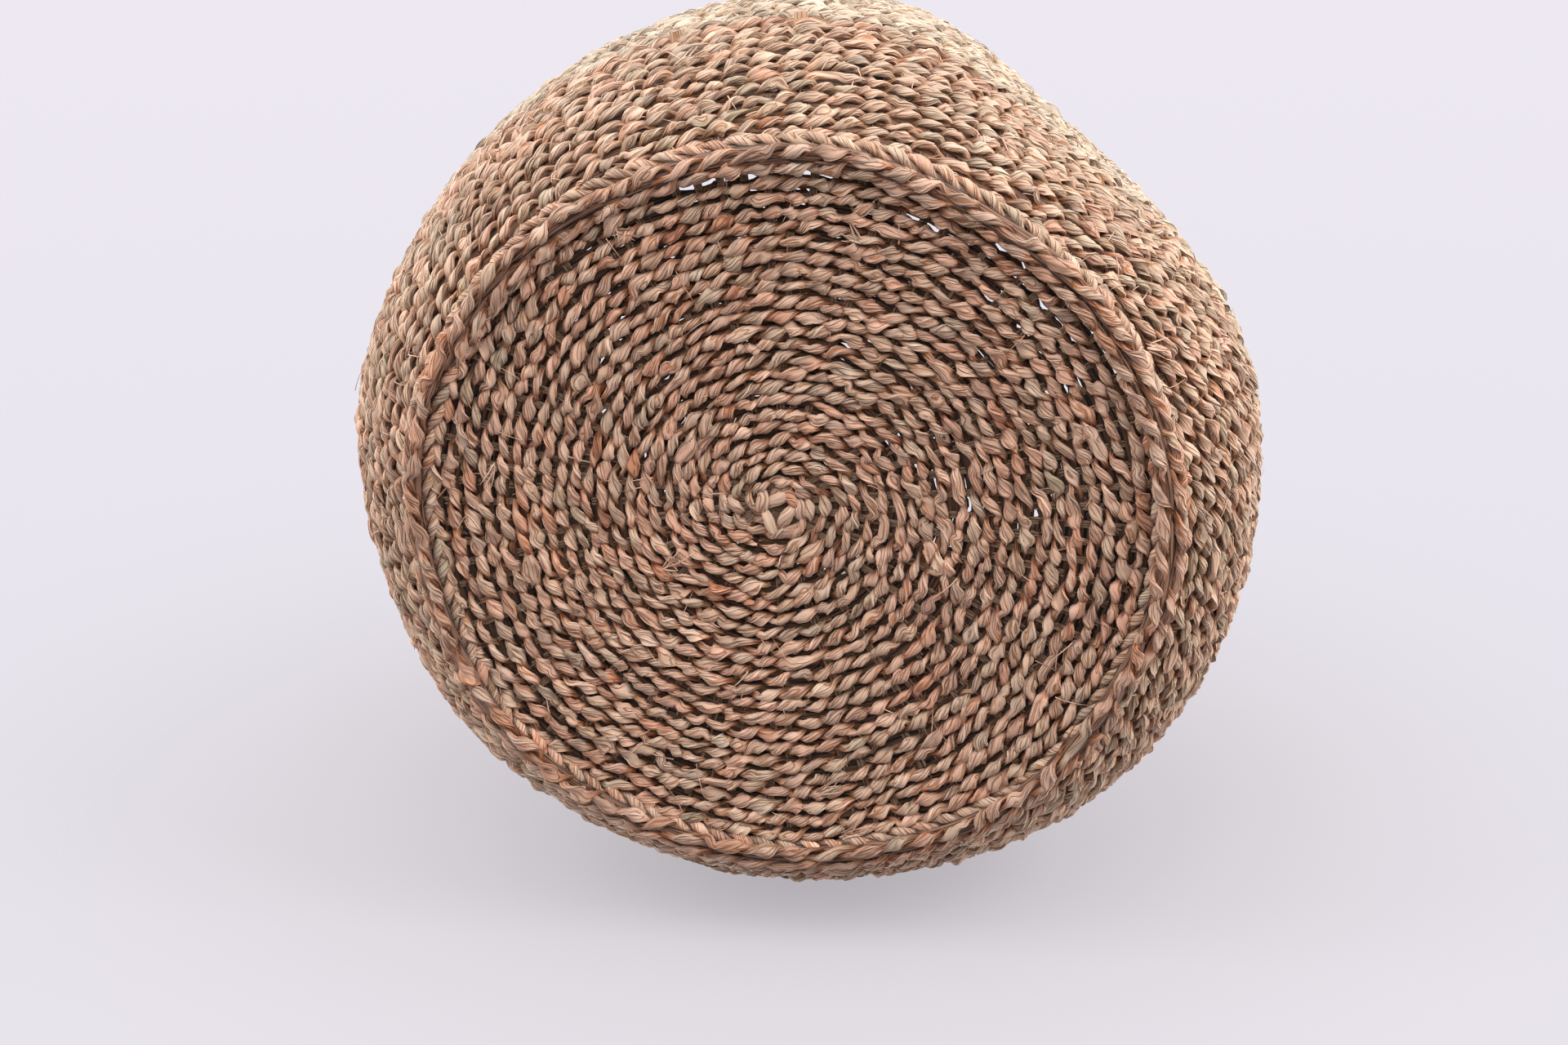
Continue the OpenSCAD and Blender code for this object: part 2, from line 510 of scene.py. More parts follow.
def drift(place, turn, low, high):
    """How far the courses lie off true, the same for neighbours and nothing at the skin's ends."""
    free = np.clip(np.minimum(place - low, high - place) / drift_fades, 0, 1)
    off = 0
    for size, waves, slope, phase in drift_waves:
        off = off + size * np.sin(waves * turn + slope * place + phase)
    return free * off


def course_line(spans, rings, begun):
    """Steps from stick to stick along a spiral of courses.

    spans are (from, to, number of steps in a turn, pitch), and begun is the turn and the steps
    already made.
    """
    turn, step = begun
    turns, places, steps, gaps = [], [], [], []
    for low, high, sticks, pitch in spans:
        count = max(1, round((high - low) / pitch * sticks))
        walk = np.arange(count * rings + 1) / rings
        if turns:
            walk = walk[1:]
        turns.append(turn + walk * 2 * math.pi / sticks)
        places.append(low + (high - low) * walk / count)
        steps.append(step + walk)
        gaps.append(np.full(len(walk), 2 * math.pi / sticks))
        turn += count * 2 * math.pi / sticks
        step += count
    return [np.concatenate(part) for part in (turns, places, steps, gaps)], (turn, step)


wisp_reach = (0.3, 0.62)
wisp_side = (15, 165)
wisp_twist = 0.35
wisp_girth = (0.35, 0.85)
wisp_proud, wisp_free = 1.02, 0.25
wisp_taper = 0.75
wisp_sides = 5
# Lighter than the strand, and how much that and the hue vary, and how much less of the strand's wear and
# painted shade they take.
wisp_dye_and_shade = (0.12, 0.22, 0.15, -0.2)
fewest_rings = 5


def wisps(line, outward, spread, swell, passes, dye, share):
    """Fibres that have come half free of a strand and lie along its leaves on the outer side.

    passes counts the strand's passes at each ring, and the outer ones are the even numbers.
    """
    wide, thin = crosswise(line, outward)
    lighter, light_spread, hue_spread, less_wear_and_shade = wisp_dye_and_shade
    made = []
    for middle in np.arange(2, passes[-1] - 1, 2):
        if chance.uniform() > share:
            continue
        begins = middle - chance.uniform(*wisp_reach)
        ends = middle + chance.uniform(*wisp_reach)
        low, high = np.searchsorted(passes, (begins, ends))
        if high - low < fewest_rings:
            continue
        part = slice(low, high)
        walk = np.linspace(-1, 1, high - low)
        side = math.radians(chance.uniform(*wisp_side)) + chance.normal(0, wisp_twist) * walk
        across, over = np.cos(side)[:, None], np.sin(side)[:, None]
        free = chance.uniform(0, wisp_free) * np.maximum(walk * chance.choice((-1, 1)), 0) ** 3
        surface = wide[part] * across * spread[part, None] + thin[part] * over * swell[part, None]
        facing = wide[part] * across + thin[part] * over
        half_width = chance.uniform(*wisp_girth) * mm * (1 - wisp_taper * np.abs(walk) ** 1.5)
        half_depth = 0.3 * half_width + 0.1 * mm
        tone = dye[part] + [chance.normal(lighter, light_spread), chance.normal(0, hue_spread), less_wear_and_shade]
        place = line[part] + surface * (wisp_proud + free)[:, None]
        made.append(tube(place, facing, half_width, half_depth, wisp_sides, tone))
    return made


# Where the sticks stand closer than the second stride, the strokes are smaller, down to those
# at the first one. Away from its front a strand is narrower and thinner, and a cut end is thin.
tight_stride, full_stride = 3.5 * mm, 9 * mm
crowded_room = 0.55
narrow_side, narrow_crowded = 0.58, 0.72
thin_side, thin_crowded = 0.8, 0.8
thin_end, end_length = 0.25, 0.6
crossing_rise = 0.38
leaf_point = 1.3
# Across this range from the back of a pass to its front, the painted shade where the strand dives fades out.
dive_shade_between = (-0.5, 0.75)
leaf_fold, leaf_roll = 0.22, 90
# How much the leaves of one strand differ, and how much runs of several leaves do.
course_sway = 0.3 * mm
slip_spread, run_slip_spread, slip_run = 0.1, 0.25, 4
out_spread, aside_spread = 0.35 * mm, 0.85 * mm
lean_spread, tip_spread = 0.6, 0.5
width_spread, depth_spread = 0.2, 0.12
light_spread, run_light_spread, light_run = 0.16, 0.1, 7
hue_spread, run_hue_spread, hue_run = 0.1, 0.12, 5
wear_range = 0.25


def at_least(low, share):
    """The share squeezed into the range from low to 1."""
    return low + (1 - low) * share


def twine(skin, limits, spans, rings, columns, begun, width, depth, reach, slant, hue, freed=0.75):
    """The two strands of a band of pair twining, its packed middle, and where the next band starts."""
    (turn, place, step, gap), ended = course_line(spans, rings, begun)
    place = place + drift(place, turn, *limits) + wander(turn, course_sway)
    from_start = step - step.min()
    slip = by_leaf(from_start, slip_spread) + by_leaf(from_start, run_slip_spread, slip_run)
    made = []
    for strand in range(2):
        count = step + strand
        phase = -math.pi * (count + slip)
        front, between = np.cos(phase), np.sin(phase)
        stride = gap * np.maximum(skin(place)[0], 3 * mm)
        room = at_least(crowded_room, ease(stride, tight_stride, full_stride))
        leaf = count - count.min()
        out = reach * room * (front + crossing_rise * between**2) + by_leaf(leaf, out_spread)
        along = -slant * room * (1 + by_leaf(leaf, lean_spread)) * between + by_leaf(leaf, aside_spread)
        line = on_skin(skin, place + along, turn, out)
        face_r, face_z = skin(place + along)[2:]
        face = np.stack([face_r * np.cos(turn), face_r * np.sin(turn), face_z], axis=-1)
        rise = np.stack([-face_z * np.cos(turn), -face_z * np.sin(turn), face_r], axis=-1)
        tip = by_leaf(leaf, tip_spread)
        outward = (front + tip * between)[:, None] * face + (tip * front - between)[:, None] * rise
        flat = np.abs(front) ** leaf_point
        spread = width / 2 * at_least(narrow_side, flat) * at_least(narrow_crowded, room)
        spread = spread * (1 + by_leaf(leaf, width_spread))
        swell = depth / 2 * at_least(thin_side, flat) * at_least(thin_crowded, room)
        swell = swell * (1 + by_leaf(leaf, depth_spread))
        ends = at_least(thin_end, ease(leaf, 0, end_length) * ease(leaf.max() - leaf, 0, end_length))
        lightness = 0.5 + by_leaf(leaf, light_spread) + by_leaf(leaf, run_light_spread, light_run)
        tint = hue + by_leaf(leaf, hue_spread) + by_leaf(leaf, run_hue_spread, hue_run)
        # Painted shade where the strand dives between sticks, plus random wear for each leaf.
        shade_and_wear = 1 - ease(front, *dive_shade_between) + by_leaf(leaf, wear_range, kind="uniform")
        dye = np.stack([lightness, tint, shade_and_wear], axis=-1)
        spread, swell = spread * ends, swell * ends
        ply = tube(line, outward, spread, swell, columns, dye, leaf_fold, leaf_roll, leaf=leaf)
        made.append([ply] + wisps(line, outward, spread, swell, count + slip, dye, freed))
    return made, core_line(skin, place, turn, from_start), ended


core_half_width, core_half_depth = 4.0 * mm, 0.7 * mm
core_thinned, core_thinned_seldom = 2.4 * mm, 5
core_sides = 6
# The packing is darkened and browned with a low lightness and a high wear value: painted shade for the gaps
# between courses.
core_shaded_dye = (-0.15, 0.6, 0.7)


def core_line(skin, place, turn, step):
    """The packed fibres in the middle of a course, between its two strands and the sticks, darkened with
    painted shade.
    """
    every = slice(None, None, 3)
    place, turn, step = place[every], turn[every], step[every]
    line = on_skin(skin, place, turn, np.zeros_like(place))
    facing = unit(on_skin(skin, place, turn, np.full_like(place, mm)) - line)
    thinned = core_thinned * by_leaf(step, 1.0, 0.5, "uniform") ** core_thinned_seldom
    return tube(line, facing, core_half_width - thinned, core_half_depth, core_sides,
                even_dye_and_shade(len(place), *core_shaded_dye), lobe=0.0)


base_limits = (0.0, base_edge)
# Each band's piece, the width of its strands, and its stretches: from and to in millimetres,
# and the number of steps in a turn.
base_bands = (
    ("start_weft", 5.2 * mm, ((4.0, 9.4, 5), (9.4, 15.7, 8), (15.7, 22, 12))),
    ("base_weft_inner", 5.3 * mm, ((22, 28, 17), (28, 41, 22), (41, 56, 29))),
    ("base_weft_middle", 5.5 * mm, ((56, 75, 38), (75, 91, 48), (91, 107, 58))),
    ("base_weft_outer", 5.8 * mm, ((107, 126, 68), (126, 142, 78), (142, base_edge / mm, 88))),
)
pitch_at_start, pitch_growth = 6.1 * mm, 0.007


def base_pitch(radius):
    """The courses are a little further apart towards the edge."""
    return pitch_at_start + pitch_growth * radius


reached = (math.radians(7.5), 0)
base_cores = []
for name, strand_width, plan in base_bands:
    spans = [(low * mm, high * mm, steps, base_pitch(low * mm)) for low, high, steps in plan]
    strands, core, reached = twine(
        base_skin, base_limits, spans, rings=10, columns=14, begun=reached, width=strand_width,
        depth=strand_depth, reach=front_reach, slant=lean, hue=0.6)
    base_cores.append(core)
    if name in ("base_weft_middle", "base_weft_outer"):
        for strand, label in zip(strands, ("_over", "_under")):
            build(name + label, strand, natural_grass, [name])
    else:
        build(name, sum(strands, []), natural_grass, [name])

# The strips of the knot over the start: across and up from it in millimetres, direction in
# degrees, length, and how far it stands proud of the courses.
knot = (
    (-0.4, 3.3, 132, 16, 0.6),
    (-5.7, -12.0, 141, 15, 0.2),
    (3.0, -8.4, 54, 17, 1.2),
    (-4.5, -4.4, 110, 15, 1.5),
    (-10.0, -1.5, 60, 12, 0.7),
    (6.5, 1.0, 75, 13, 0.9),
)
knot_rings = 11
knot_half_width, knot_half_depth = 2.7 * mm, 1.4 * mm
knot_dive = 3.2 * mm
start_leaves = []
for across, up, degrees, length, proud in knot:
    walk = np.linspace(-1, 1, knot_rings)
    heading = math.radians(degrees)
    ahead = np.array([math.cos(heading), math.sin(heading)])
    aside = np.array([-ahead[1], ahead[0]])
    bow = 0.9 * np.sin(3 * walk)[:, None] * aside
    flat_line = (np.array([across, up]) + length / 2 * walk[:, None] * ahead + bow) * mm
    towards_ends = np.abs(walk) ** 2.5
    lowest = base_middle + base_dish - front_reach - proud * mm
    line = np.column_stack([flat_line + start_shift, lowest + knot_dive * towards_ends])
    full = 1 - 0.6 * towards_ends
    start_leaves.append(tube(
        line, np.tile(down, (knot_rings, 1)), knot_half_width * full, knot_half_depth * full, 14,
        even_dye_and_shade(knot_rings, 0.5, 0.55), lobe=0.2, roll=leaf_roll, leaf=walk + 1))
build("start_knot", start_leaves, natural_grass)
build("base_weft_packing", base_cores, stick_grass)

# ---------------------------------------------------------------- Foot waling
# A heavier braided ridge round the edge of the base, on which the basket stands: two thick
# rope-like rounds of paired strands side by side, over rounds that turn the corner to the wall.

foot_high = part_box("foot_waling")[1]
foot_radius = (base_edge + foot_high[0]) / 2
ridge_hues = (
    (0.0, (0.50, 0.39, 0.27)),
    (0.3, (0.64, 0.46, 0.33)),
    (0.6, (0.69, 0.45, 0.33)),
    (1.0, (0.64, 0.32, 0.18)),
)
ridge_grass = seagrass("ridge_seagrass", ridge_hues, light=0.75, streak=0.7, gloss=0.58)


def ring_skin(radius, height, face):
    """A line round the basket at one radius and height, facing down and outward by an angle."""
    face_r, face_z = math.sin(math.radians(face)), -math.cos(math.radians(face))

    def skin(place):
        out = place - radius
        level = np.full_like(place, 1.0)
        return radius + out * -face_z, height + out * face_r, level * face_r, level * face_z

    return skin


rope_out_spread, rope_aside_spread = 0.25 * mm, 0.3 * mm
rope_sway, rope_sways = 0.5 * mm, 7
rope_flattened = 0.75
rope_size_spread = 0.08
rope_light_spread, rope_hue_spread, rope_wear_range = 0.2, 0.18, 0.4
rope_lobe, rope_roll = 0.09, 200


def rope(radius, height, face, count, width, depth, reach, strands, hue, rings, columns):
    """A closed round of twisted strands, with so many strokes in the round and strands in the rope."""
    skin = ring_skin(radius, height, face)
    walk = np.arange(count * rings) / rings
    turn = walk * 2 * math.pi / count
    made = []
    for strand in range(strands):
        phase = math.pi * walk + strand * 2 * math.pi / strands
        front, between = np.cos(phase), np.sin(phase)
        leaf = (walk + strand * 2 / strands) % count
        wrap = ease(leaf, 0, 1) * ease(count - leaf, 0, 1)
        out = reach * front + wrap * by_leaf(leaf, rope_out_spread)
        along = -rope_flattened * reach * between + wrap * by_leaf(leaf, rope_aside_spread)
        place = radius + along + rope_sway * np.sin(rope_sways * turn)
        line = on_skin(skin, place, turn, out)
        face_r, face_z = skin(place)[2:]
        facing = np.stack([face_r * np.cos(turn), face_r * np.sin(turn), face_z], axis=-1)
        rise = np.stack([-face_z * np.cos(turn), -face_z * np.sin(turn), face_r], axis=-1)
        outward = front[:, None] * facing - between[:, None] * rise
        spread = width / 2 * at_least(rope_flattened, front**2) * (1 + wrap * by_leaf(leaf, rope_size_spread))
        swell = depth / 2 * (1 + wrap * by_leaf(leaf, rope_size_spread))
        lightness = 0.5 + wrap * by_leaf(leaf, rope_light_spread)
        tint = hue + wrap * by_leaf(leaf, rope_hue_spread)
        shade_and_wear = wrap * by_leaf(leaf, rope_wear_range, kind="uniform")
        dye = np.stack([lightness, tint, shade_and_wear], axis=-1)
        made.append(tube(line, outward, spread, swell, columns, dye, rope_lobe, rope_roll, closed=True))
    return made


ridge_middle, ridge_height = foot_radius - 1.5 * mm, 11.5 * mm
ridge_across, ridge_down = 5.0 * mm, 6.5 * mm
ridge_bend = (ridge_across + ridge_down) / 2
ridge_start = math.radians(215)


def foot_skin(place):
    """Round the foot's underside from beside the base to the outer side, by the distance along it."""
    angle = ridge_start + place / ridge_bend
    face = np.stack([np.cos(angle) / ridge_across, np.sin(angle) / ridge_down])
    face = face / np.linalg.norm(face, axis=0)
    radius = ridge_middle + ridge_across * np.cos(angle)
    height = ridge_height + ridge_down * np.sin(angle)
    return radius, height, face[0], face[1]


ridge_limits = (-25 * mm, 40 * mm)
ridge_plan = ((0.5 * mm, 14.5 * mm, 70, 7.0 * mm),)
strands, core, _ = twine(
    foot_skin, ridge_limits, ridge_plan, rings=12, columns=14, begun=(0.4, 0), width=6.2 * mm,
    depth=3.2 * mm, reach=2.2 * mm, slant=1.1 * mm, hue=0.58)
build("foot_waling", sum(strands, []) + [core], ridge_grass, ["foot_waling"])

# Each round that turns the corner: out from the ridge's middle and up in millimetres, and the
# angle in degrees from straight down that it faces.
corner_rounds = ((-5.2, 9.0, -25), (-1.5, 12.0, 0), (3.8, 13.4, 60))
strands = []
for out, up, face in corner_rounds:
    strands += rope(
        foot_radius + out * mm, up * mm, face, count=96, width=4.9 * mm, depth=3.4 * mm,
        reach=2.2 * mm, strands=2, hue=0.47, rings=7, columns=10)
build("foot_corner_rounds", strands, natural_grass)

# ---------------------------------------------------------------- Side stakes
# The outer ends of the sticks bend up at the foot and stand inside the wall as its stakes,
# 96 bundles of thin cords that show only in the gaps between courses.

wall_depth = 9 * mm
belly_middle = belly_radius - wall_depth / 2
belly_height = 94 * mm
foot_top = foot_high[2]
neck_radius, neck_height = 150 * mm, 278 * mm


def bend_radius(across, along):
    """Radius of the arc that starts upright and ends so far across and along."""
    return (across * across + along * along) / (2 * across)


low_bend = bend_radius(belly_middle - foot_radius, belly_height - foot_top)
high_bend = bend_radius(belly_middle - neck_radius, neck_height - belly_height)
low_angle = math.asin((belly_height - foot_top) / low_bend)
high_angle = math.asin((neck_height - belly_height) / high_bend)
low_length = low_bend * low_angle
wall_length = low_length + high_bend * high_angle


def wall_skin(place):
    """Middle surface of the wall at a distance up it from the foot: two arcs that meet at the belly."""
    below = place < low_length
    angle = np.where(below, place / low_bend - low_angle, (place - low_length) / high_bend)
    bend = np.where(below, low_bend, high_bend)
    radius = belly_middle - bend + bend * np.cos(angle)
    return radius, belly_height + bend * np.sin(angle), np.cos(angle), np.sin(angle)


wall_stakes = 96
stake_points = 26
stake_start = -3 * mm
stakes = []
for i in range(wall_stakes):
    places = np.linspace(stake_start, wall_length, stake_points)
    stakes += stick(wall_skin, places, np.full(stake_points, math.radians(i * 360 / wall_stakes)))
build("side_stakes", stakes, stick_grass, ["side_stakes"])

# ---------------------------------------------------------------- Natural side weft
# The same pair twining goes on up the wall, one stake to each step. About a dozen courses
# are the natural colour of the base.

wall_pitch = 6.7 * mm
wall_limits = (0.0, wall_length)
natural_share = 0.98
natural_top = natural_share * low_length
wall_start = 2.5 * mm
natural_bands = ("side_weft_lower", "side_weft_middle", "side_weft_upper")
edges = np.linspace(wall_start, natural_top, len(natural_bands) + 1)
edges[1:-1] = natural_top * np.array([1, 2]) / 3
reached = (0.0, 0)
side_cores = []
for name, low, high in zip(natural_bands, edges[:-1], edges[1:]):
    strands, core, reached = twine(
        wall_skin, wall_limits, ((low, high, wall_stakes, wall_pitch),), rings=10, columns=10,
        begun=reached, width=5.1 * mm, depth=3.1 * mm, reach=3.5 * mm, slant=1.3 * mm, hue=0.42)
    build(name, sum(strands, []), natural_grass, [name])
    side_cores.append(core)
build("side_weft_packing", side_cores, natural_grass)

# ---------------------------------------------------------------- Cream weft
# From just under the belly to the neck the strands are bleached seagrass, twined in the same
# way over the same stakes.

cream_hues = (
    (0.0, (0.59, 0.49, 0.37)),
    (0.4, (0.72, 0.61, 0.47)),
    (0.8, (0.73, 0.61, 0.47)),
    (1.0, (0.65, 0.49, 0.34)),
)
cream_grass = seagrass("cream_seagrass", cream_hues, light=0.78, streak=0.5, gloss=0.6)
belly_end = math.radians(8) * high_bend
waling_turn = math.radians(1.4)
neck_end = (high_angle - waling_turn) * high_bend
cream_edges = [natural_top] + [low_length + edge for edge in np.linspace(belly_end, neck_end, 4)]
cream_bands = (
    "cream_weft_belly",
    "cream_weft_lower_shoulder",
    "cream_weft_upper_shoulder",
    "cream_weft_neck",
)
for name, low, high in zip(cream_bands, cream_edges[:-1], cream_edges[1:]):
    strands, core, reached = twine(
        wall_skin, wall_limits, ((low, high, wall_stakes, wall_pitch),), rings=7, columns=8,
        begun=reached, width=5.1 * mm, depth=3.2 * mm, reach=3.3 * mm, slant=1.3 * mm, hue=0.5, freed=0.12)
    build(name, sum(strands, []) + [core], cream_grass, [name])

# ---------------------------------------------------------------- Rim
# A thicker round of cream waling closes the weave, and above it the ends of the stakes are
# folded down and rolled with more strands into a round twisted border.

waling_place = neck_end + low_length + 4 * mm
waling_radius, waling_height = (float(value) for value in wall_skin(np.array(waling_place))[:2])
waling_face = 90 + math.degrees(high_angle)
strands = rope(
    waling_radius, waling_height, waling_face, count=wall_stakes, width=6.6 * mm, depth=4.4 * mm,
    reach=3.3 * mm, strands=2, hue=0.5, rings=6, columns=10)
build("rim_waling", strands, cream_grass, ["rim_waling"])
border_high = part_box("rim_border")[1]
border_inset = 7 * mm
strands = rope(
    border_high[0] - border_inset, border_high[2] - border_inset, waling_face, count=70, width=7.4 * mm,
    depth=5.2 * mm, reach=4.1 * mm, strands=3, hue=0.5, rings=8, columns=12)
build("rim_border", strands, cream_grass, ["rim_border"])

# ---------------------------------------------------------------- Loose ends
# Hand-twined seagrass sheds: fine fibres stand off the strokes, and where a strand was
# joined its cut end shows as a short frayed tuft.

blade_rings, blade_sides = 7, 4
blade_start = 4.0 * mm
blade_half_depth = 0.16 * mm
curl_spread = 0.8


def blade(skin, place, turn, length, width, heading, lift, curl, dye):
    """A thin flat fibre that leaves the skin at a low angle and curls."""
    walk = np.linspace(0, 1, blade_rings)
    along = length * (np.cos(heading) * walk + 0.25 * curl * walk**2)
    around = length * (np.sin(heading) * walk - 0.2 * curl * walk**2)
    out = blade_start + length * lift * walk * (1 - 0.45 * walk)
    radius = max(float(skin(np.array([place]))[0][0]), 4 * mm)
    line = on_skin(skin, place + along, turn + around / radius, out)
    facing = unit(on_skin(skin, place + along, turn + around / radius, out + mm) - line)
    half_width = width / 2 * (1 - 0.8 * walk**2)
    return tube(line, facing, half_width, blade_half_depth, blade_sides, dye, lobe=0.0)


def fibre_dye(hue):
    return np.tile([chance.uniform(0.3, 1.0), hue + chance.normal(0, 0.15), 0.0], (blade_rings, 1))


def stray(skin, place, longest, steepest):
    """One fine fibre that lies any way round."""
    return blade(skin, place, chance.uniform(*any_way), chance.uniform(4, longest) * mm,
                 chance.uniform(0.25, 0.7) * mm, chance.uniform(*any_way), chance.uniform(0.02, steepest),
                 chance.normal(0, curl_spread), fibre_dye(0.6))


base_strays, wall_strays = 110, 260
strays = []
for _ in range(base_strays):
    strays.append(stray(base_skin, base_edge * math.sqrt(chance.uniform(0.02, 1)), 15, 0.3))
for _ in range(wall_strays):
    strays.append(stray(wall_skin, chance.uniform(wall_start, natural_top), 14, 0.45))

# Each tuft: the skin it stands on, its place along it in millimetres, and its direction in degrees.
tufts = (
    (base_skin, 129, 103),
    (base_skin, 131, 8),
    (base_skin, 134, 264),
    (base_skin, 156, 261),
    (wall_skin, 8, 152),
    (wall_skin, 30, 200),
    (wall_skin, 40, 118),
    (wall_skin, 58, 75),
    (base_skin, 60, 330),
    (base_skin, 148, 60),
    (wall_skin, 20, 20),
    (wall_skin, 50, 300),
)
blades_in_tuft = 9
tuft_spread, tuft_turn_spread, tuft_fan = 1.2 * mm, 0.008, 0.5
for skin, place, degrees in tufts:
    heading = chance.uniform(*any_way)
    for _ in range(blades_in_tuft):
        start = place * mm + chance.normal(0, tuft_spread)
        turn = math.radians(degrees) + chance.normal(0, tuft_turn_spread)
        strays.append(blade(skin, start, turn, chance.uniform(5, 12) * mm, chance.uniform(0.5, 1.3) * mm,
                            heading + chance.normal(0, tuft_fan), chance.uniform(0.1, 0.5),
                            chance.normal(0, curl_spread), fibre_dye(0.5)))
build("loose_fibres", strays, natural_grass)

# Cut ends of cords stand out where the natural weft stops: each one's direction in degrees, and
# how many millimetres below the top of that weft it starts.
cut_ends = ((73, 6), (89, 5), (212, 7), (318, 4))
cords_in_end = 4
end_gap = 1.5 * mm
end_rings = 5
end_rise = 5 * mm
end_out, end_lean = 1.0, 5.5
end_half_width, end_half_depth = 0.95 * mm, 0.75 * mm
stubs = []
for degrees, below in cut_ends:
    for cord in range(cords_in_end):
        walk = np.linspace(0, 1, end_rings)
        aside = (cord - (cords_in_end - 1) / 2) * end_gap / belly_radius
        turns = np.full(end_rings, math.radians(degrees) + aside + chance.normal(0, 0.001))
        places = natural_top - below * mm + end_rise * walk
        line = on_skin(wall_skin, places, turns, (end_out + (end_lean + chance.uniform(0, 1)) * walk) * mm)
        facing = unit(on_skin(wall_skin, places, turns, 30 * mm) - line)
        stubs.append(tube(line, facing, end_half_width, end_half_depth, 8, even_dye_and_shade(end_rings, 1.1, 0.8), 0.15))
build("cut_strand_ends", stubs, stick_grass)

# ---------------------------------------------------------------- Floor, light and camera
# A pale ground under the standing basket, and a second one beside it that carries the
# soft shadow where the basket lies on its side. Each is seen from its upper side only.

ground_sides = 96
ground_rings = 24
ground_base = (0.17, 0.163, 0.172, 1)
ground_glow = (0.42, 0.407, 0.438, 1)


def ground(name, middle, across, up, half, fade_from, fade_to):
    """A flat disc of pale ground that fades out and can be seen from one side only."""
    across, up = Vector(across), Vector(up)
    side = up.cross(across)
    points, faces = [], []
    for ring in np.linspace(0.02, 1, ground_rings):
        for i in range(ground_sides):
            angle = i * 2 * math.pi / ground_sides
            reach = half * float(ring)
            points.append(Vector(middle) + reach * (across * math.cos(angle) + side * math.sin(angle)))
    for ring in range(ground_rings - 1):
        for i in range(ground_sides):
            a = ring * ground_sides + i
            b = ring * ground_sides + (i + 1) % ground_sides
            faces.append((a, a + ground_sides, b + ground_sides, b))
    faces.append(tuple(range(ground_sides)))
    mesh = bpy.data.meshes.new(name)
    mesh.from_pydata(points, [], faces)
    material = bpy.data.materials.new(name)
    material.use_nodes = True
    tree = material.node_tree
    tree.nodes.clear()
    start = Shade(tree)
    place = start.node("ShaderNodeTexCoord", output=3)
    away = start.node("ShaderNodeVectorMath", {"operation": "DISTANCE"}, {0: place, 1: middle}, output=1)
    fade = start.node("ShaderNodeMapRange", {"interpolation_type": "SMOOTHSTEP"},
                      {0: away, 1: fade_from, 2: fade_to, 3: 0.0, 4: 1.0})
    behind = start.node("ShaderNodeNewGeometry", output=6)
    hidden = start.maths("MAXIMUM", fade, behind)
    clear = start.node("ShaderNodeBsdfTransparent")
    chalk = start.node("ShaderNodeBsdfPrincipled", inputs={
        "Base Color": ground_base, "Roughness": 1.0, "Specular IOR Level": 0.0,
        "Emission Color": ground_glow, "Emission Strength": 1.0})
    mixed = start.node("ShaderNodeMixShader", inputs={0: hidden, 1: chalk, 2: clear})
    start.node("ShaderNodeOutputMaterial", inputs={0: mixed})
    mesh.materials.append(material)
    floor = bpy.data.objects.new(name, mesh)
    floor.visible_shadow = False
    bpy.context.scene.collection.objects.link(floor)
    return floor


standing = ground("standing_ground", (0, 0, 0), (1, 0, 0), (0, 0, 1), half=0.9, fade_from=0.35, fade_to=0.85)
standing.visible_diffuse = False
lying_middle = (0, -belly_radius - 1 * mm, 90 * mm)
ground("lying_ground", lying_middle, (1, 0, 0), (0, 1, 0), half=0.7, fade_from=0.2, fade_to=0.6)

# The backdrop that is seen, and the room's light, which comes mostly from above the standing
# basket and from the side that is up when it lies.
backdrop_hues = (
    (0.0, (0.75, 0.72, 0.77)),
    (0.35, (0.80, 0.77, 0.84)),
    (1.0, (0.86, 0.82, 0.89)),
)
room_hues = (
    (0.0, (0.08, 0.07, 0.07)),
    (0.45, (0.25, 0.235, 0.23)),
    (0.75, (1.0, 0.98, 0.98)),
)
room_strength = 1.6
world = bpy.data.worlds.new("studio")
bpy.context.scene.world = world
bpy.context.scene.view_settings.view_transform = "Standard"
world.use_nodes = True
world.node_tree.nodes.clear()
sky = Shade(world.node_tree)
direction = sky.node("ShaderNodeTexCoord", output=0)
rise, depth = (sky.node("ShaderNodeSeparateXYZ", inputs={0: direction}, output=i) for i in (1, 2))
backdrop = sky.node("ShaderNodeValToRGB", {"stops": backdrop_hues}, {0: rise * 2.5 + 1.5})
seen = sky.node("ShaderNodeBackground", inputs={"Color": backdrop, "Strength": 1.0})
room_light = sky.node("ShaderNodeValToRGB", {"stops": room_hues}, {0: 0.55 + 0.4 * depth + 0.34 * rise})
shone = sky.node("ShaderNodeBackground", inputs={"Color": room_light, "Strength": room_strength})
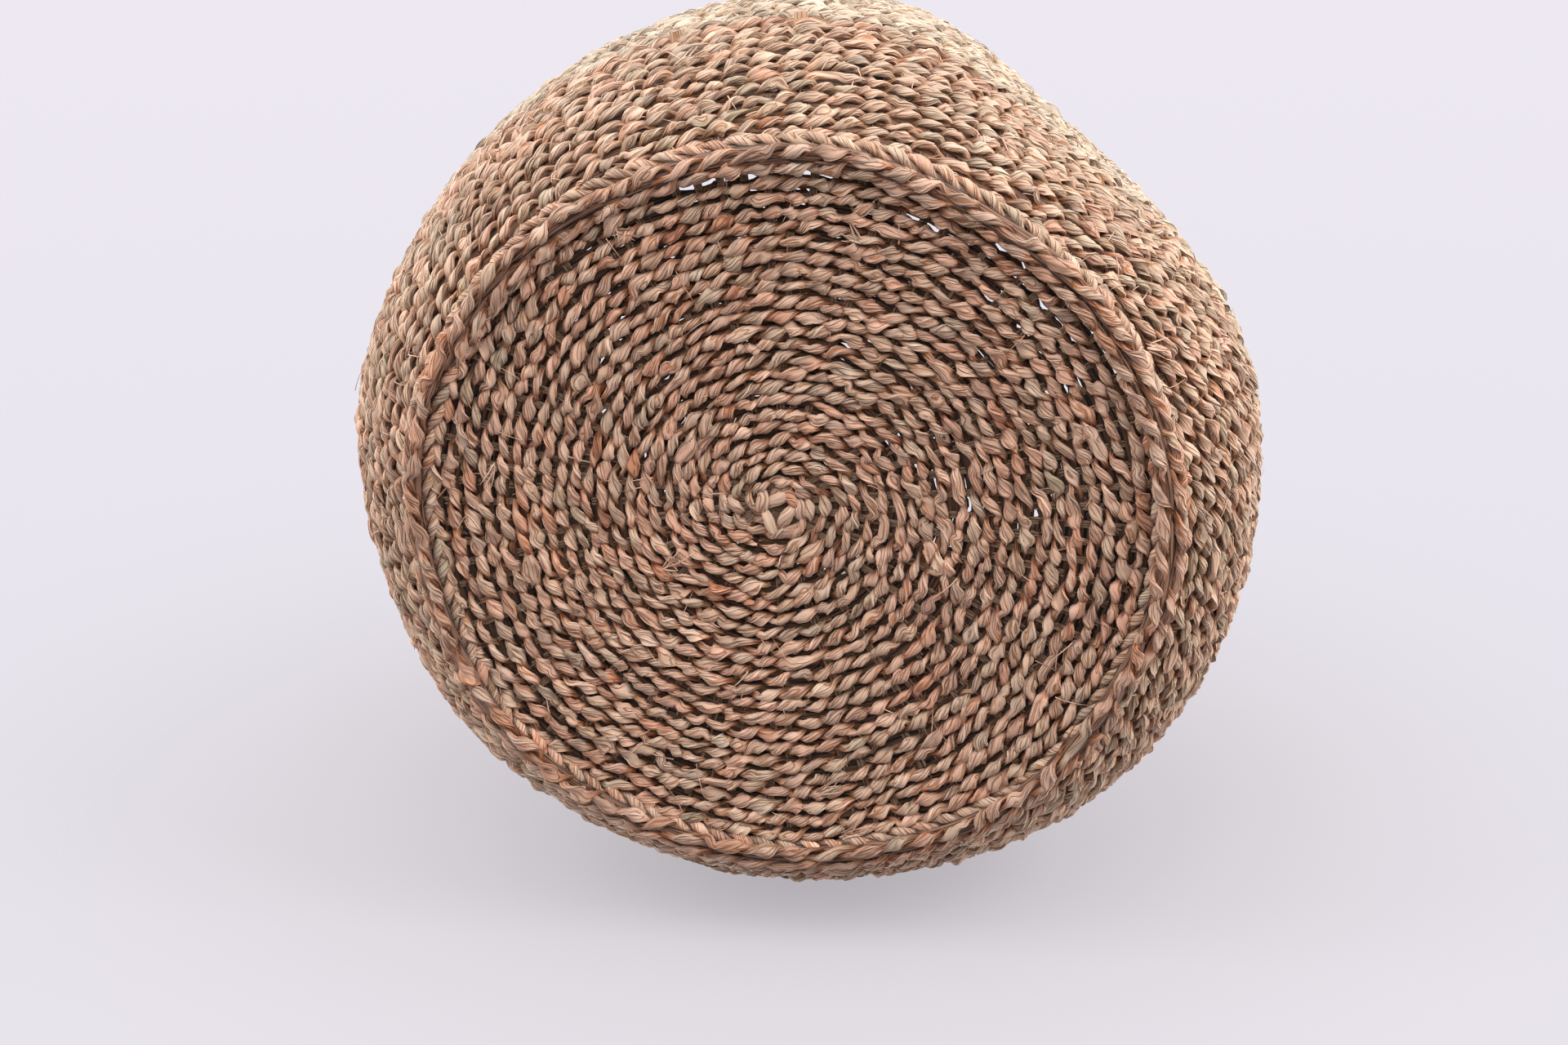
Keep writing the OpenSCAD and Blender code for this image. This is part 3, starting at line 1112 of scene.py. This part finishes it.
looked = sky.node("ShaderNodeLightPath", output=0)
both = sky.node("ShaderNodeMixShader", inputs={0: looked, 1: shone, 2: seen})
sky.node("ShaderNodeOutputWorld", inputs={0: both})


def softbox(name, place, target, size, power, colour):
    """A square area light that faces a point."""
    light = bpy.data.lights.new(name, "AREA")
    light.shape = "SQUARE"
    light.size = size
    light.energy = power
    light.color = colour
    lamp = bpy.data.objects.new(name, light)
    lamp.location = place
    lamp.rotation_euler = (Vector(target) - Vector(place)).to_track_quat("-Z", "Y").to_euler()
    bpy.context.scene.collection.objects.link(lamp)


warm, cool = (1.0, 0.98, 0.97), (0.97, 0.98, 1.04)
softbox("overhead_softbox", (0.1, 1.28, -1.0), (0, 0, 0.05), size=1.0, power=12.3, colour=cool)
softbox("left_softbox", (1.4, 0.85, -0.25), (0, 0, 0.08), size=1.2, power=20, colour=warm)
softbox("right_softbox", (-1.4, 0.85, -0.25), (0, 0, 0.08), size=1.2, power=29, colour=warm)
softbox("standing_softbox", (0.5, -1.2, 1.3), (0, 0, 0.1), size=1.0, power=22, colour=(1.0, 0.98, 0.96))

# The camera looks at the underside. Its up is along +Y, so the basket is seen lying on its side.
camera_distance = 1.75
camera_tilt = math.radians(22)
camera_turn = math.radians(6)
aim_right, aim_above = -1.8 * mm, 0.7 * mm
toward = Vector((-math.sin(camera_turn) * math.cos(camera_tilt), math.sin(camera_tilt),
                 -math.cos(camera_turn) * math.cos(camera_tilt)))
sight = bpy.data.cameras.new("camera")
sight.lens = 92.5
sight.sensor_width = 36
viewer = bpy.data.objects.new("camera", sight)
back = toward.normalized()
right = Vector((0, 1, 0)).cross(back).normalized()
above = back.cross(right)
aim = aim_right * right + aim_above * above
viewer.matrix_world = Matrix((
    (right.x, above.x, back.x, aim.x + camera_distance * toward.x),
    (right.y, above.y, back.y, aim.y + camera_distance * toward.y),
    (right.z, above.z, back.z, aim.z + camera_distance * toward.z),
    (0, 0, 0, 1),
))
bpy.context.scene.collection.objects.link(viewer)
bpy.context.scene.camera = viewer
